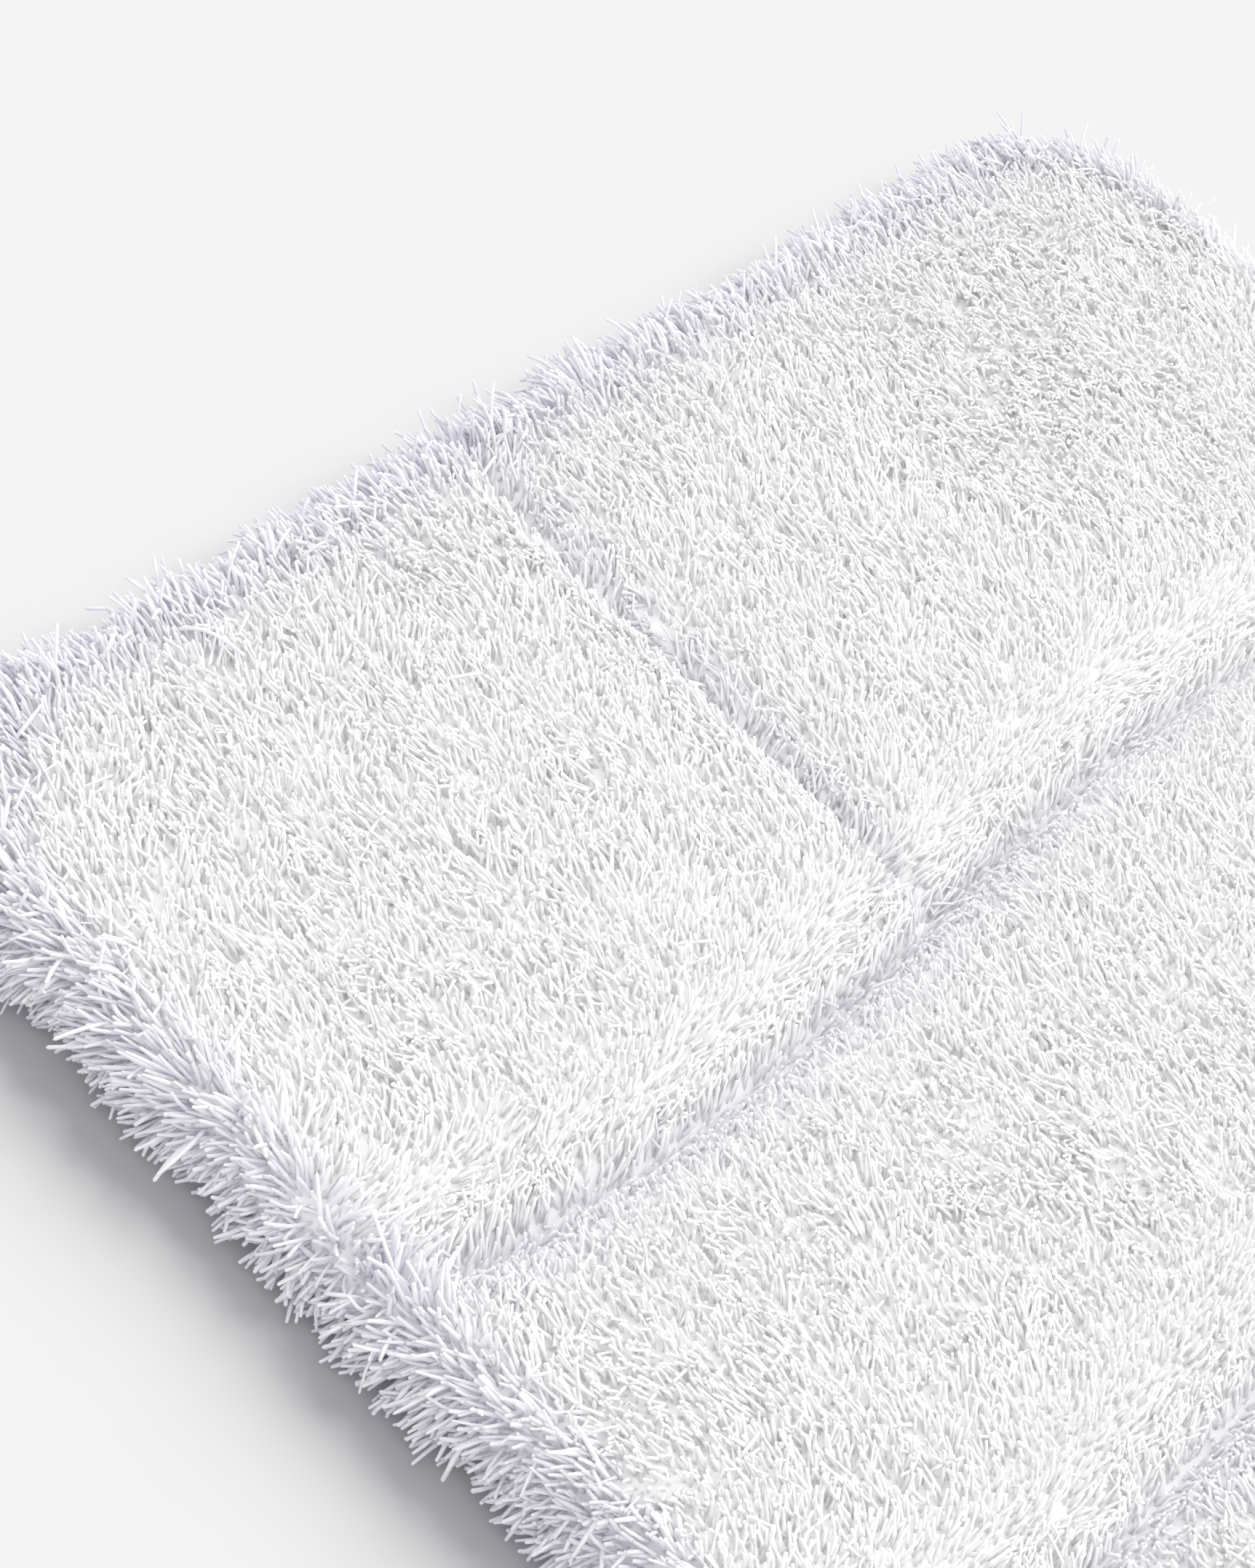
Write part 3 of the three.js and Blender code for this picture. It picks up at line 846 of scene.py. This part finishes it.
def stitchMesh(name, node, face, arch, rng):
    low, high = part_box(node)
    inset = halfWidth - (high.x - 0.2 * mm)
    walkLength = outlineLength(inset)
    count = int(walkLength / stitch["pitch"])
    walk = (np.arange(count) + 0.5) * walkLength / count
    reach = (walkLength / count - stitch["gap"]) / 2
    sink = face - stitch["sink"] if arch > 0 else face + stitch["sink"]
    ends = []
    for shift in (-reach, 0, reach):
        x, y, _, _ = outlineAt(walk + shift, inset)
        z = np.full(count, face + arch if shift == 0 else sink)
        z = z + (rng.normal(0, stitch["vary"], count) if shift == 0 else 0)
        ends.append(np.stack([x, y, z], 1))
    return strandMesh(name, *ends, np.zeros(count), threadStrand, rng)


print("stitches")
for name, node, face, arch in (("needle_stitches", "needle_thread", tapeHigh.z, stitch["arch"]),
                               ("bobbin_stitches", "bobbin_thread", tapeLow.z, -stitch["arch"])):
    stitches = addPiece(stitchMesh(name, node, face, arch, rng), sewingThread)
    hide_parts(node)

# a blank ribbon folded in two, with both ends caught under the binding
ribbon = {"thickness": 0.09 * mm, "steps": 30, "across": 10, "ripple": 0.035 * mm, "clear": 0.07 * mm}


def ribbonMesh():
    low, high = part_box("care_label")
    half = ribbon["thickness"] / 2
    lowRun, highRun = low.z + ribbon["clear"], high.z - ribbon["clear"]
    bend = (highRun - lowRun) / 2
    run = np.linspace(high.x, low.x + bend + half, ribbon["steps"])
    turn = np.linspace(math.pi / 2, 3 * math.pi / 2, 9)[1:-1]
    x = np.concatenate([run, run[-1] + bend * np.cos(turn), run[::-1]])
    z = np.concatenate([np.full(len(run), lowRun), (lowRun + highRun) / 2 - bend * np.sin(turn),
                        np.full(len(run), highRun)])
    y = np.linspace(low.y, high.y, ribbon["across"])
    gx, gy = np.meshgrid(x, y, indexing="ij")
    gz = np.repeat(z[:, None], len(y), 1)
    gz = gz + ribbon["ripple"] * softNoise(gx, gy, 9 * mm, 61)
    dx, dz = np.gradient(x), np.gradient(z)
    size = np.hypot(dx, dz)
    nx, nz = (-dz / size * half)[:, None], (dx / size * half)[:, None]
    sides = [np.stack([gx + sign * nx, gy, gz + sign * nz], -1).reshape(-1, 3) for sign in (1, -1)]
    n, m = len(x), len(y)
    index = np.arange(n * m).reshape(n, m)
    front = np.stack([index[:-1, :-1], index[1:, :-1], index[1:, 1:], index[:-1, 1:]], -1).reshape(-1, 4)
    back = front[:, ::-1] + n * m
    rim = np.concatenate([index[:-1, 0], index[-1, :-1], index[1:, -1][::-1], index[0, 1:][::-1]])
    border = np.stack([rim, rim + n * m, np.roll(rim, -1) + n * m, np.roll(rim, -1)], -1)
    mesh = bpy.data.meshes.new("label_ribbon")
    mesh.from_pydata(np.concatenate(sides).tolist(), [], np.concatenate([front, back, border]).tolist())
    mesh.update()
    mesh.shade_smooth()
    return mesh, (high.y - low.y, float(np.hypot(np.diff(x), np.diff(z)).sum()))


print("label")
mesh, ribbonFlat = ribbonMesh()
labelPiece = addPiece(mesh, labelRibbon)
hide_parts("care_label")


floorLook = {"colour": (0.53, 0.53, 0.53, 1), "size": 120.0}


def makeFloor():
    size = floorLook["size"] / 2
    mesh = bpy.data.meshes.new("floor")
    corners = [(-size, -size, 0), (size, -size, 0), (size, size, 0), (-size, size, 0)]
    mesh.from_pydata(corners, [], [(0, 1, 2, 3)])
    floor = bpy.data.objects.new("floor", mesh)
    bpy.context.scene.collection.objects.link(floor)
    material, _, _, shader = newMaterial("paleFloor")
    shader.inputs["Base Color"].default_value = floorLook["colour"]
    shader.inputs["Roughness"].default_value = 0.9
    shader.inputs["Specular IOR Level"].default_value = 0.1
    mesh.materials.append(material)
    return floor


# each lamp lights the mat or the floor
light = {
    "sky": (0.93, 0.915, 1.0, 1), "skyStrength": 0.49,
    "backdrop": (0.85, 0.85, 0.85, 1),  # what the camera sees beyond the floor
    "gamma": 1.5, "bounces": 16,
    "lamps": [
        {"name": "softKey", "lights": "mat", "colour": (1.0, 1.0, 0.93), "strength": 1.05,
         "heading": -14, "height": 56, "softness": 60},
        {"name": "overhead", "lights": "mat", "colour": (1.0, 1.0, 0.96), "strength": 2.25,
         "heading": -14, "height": 84, "softness": 150},
        {"name": "floorKey", "lights": "floor", "colour": (1.0, 1.0, 0.955), "strength": 5.1,
         "heading": -8, "height": 45, "softness": 44},
    ],
}


def makeLight(floor):
    world = bpy.data.worlds.new("studio")
    bpy.context.scene.world = world
    world.use_nodes = True
    nodes, links = world.node_tree.nodes, world.node_tree.links
    sky, backdrop = nodes["Background"], nodes.new("ShaderNodeBackground")
    sky.inputs["Color"].default_value = light["sky"]
    sky.inputs["Strength"].default_value = light["skyStrength"]
    backdrop.inputs["Color"].default_value = light["backdrop"]
    seen, either = nodes.new("ShaderNodeLightPath"), nodes.new("ShaderNodeMixShader")
    links.new(seen.outputs["Is Camera Ray"], either.inputs[0])
    links.new(sky.outputs[0], either.inputs[1])
    links.new(backdrop.outputs[0], either.inputs[2])
    links.new(either.outputs[0], nodes["World Output"].inputs["Surface"])
    for given in light["lamps"]:
        lamp = bpy.data.lights.new(given["name"], "SUN")
        lamp.energy, lamp.color = given["strength"], given["colour"]
        lamp.angle = math.radians(given["softness"])
        holder = bpy.data.objects.new(given["name"], lamp)
        bpy.context.scene.collection.objects.link(holder)
        heading, height = math.radians(given["heading"]), math.radians(given["height"])
        level = math.cos(height)
        towards = Vector((math.cos(heading) * level, math.sin(heading) * level, math.sin(height)))
        holder.rotation_euler = towards.to_track_quat("Z", "Y").to_euler()
        lit = bpy.data.collections.new(f"{given['name']}Lights")
        lit.objects.link(floor)
        state = "INCLUDE" if given["lights"] == "floor" else "EXCLUDE"
        lit.collection_objects[0].light_linking.link_state = state
        holder.light_linking.receiver_collection = lit


view = {"place": (-0.619, 0.125, 0.579), "heading": 17.8, "down": 45.4, "roll": 31.3, "lens": 76.0}


def makeCamera():
    data = bpy.data.cameras.new("camera")
    data.lens, data.sensor_width, data.sensor_fit = view["lens"], 36, "AUTO"
    camera = bpy.data.objects.new("camera", data)
    bpy.context.scene.collection.objects.link(camera)
    heading, down = math.radians(view["heading"]), math.radians(view["down"])
    look = Vector((math.cos(heading) * math.cos(down), math.sin(heading) * math.cos(down), -math.sin(down)))
    level = look.to_track_quat("-Z", "Y").to_matrix().to_4x4()
    roll = Matrix.Rotation(math.radians(view["roll"]), 4, "Z")
    camera.matrix_world = Matrix.Translation(view["place"]) @ level @ roll
    bpy.context.scene.camera = camera


print("stage")
makeLight(makeFloor())
makeCamera()
bpy.context.scene.view_settings.view_transform = "Standard"
bpy.context.scene.view_settings.gamma = light["gamma"]
bpy.context.scene.cycles.diffuse_bounces = light["bounces"]
bpy.context.scene.cycles.max_bounces = light["bounces"]
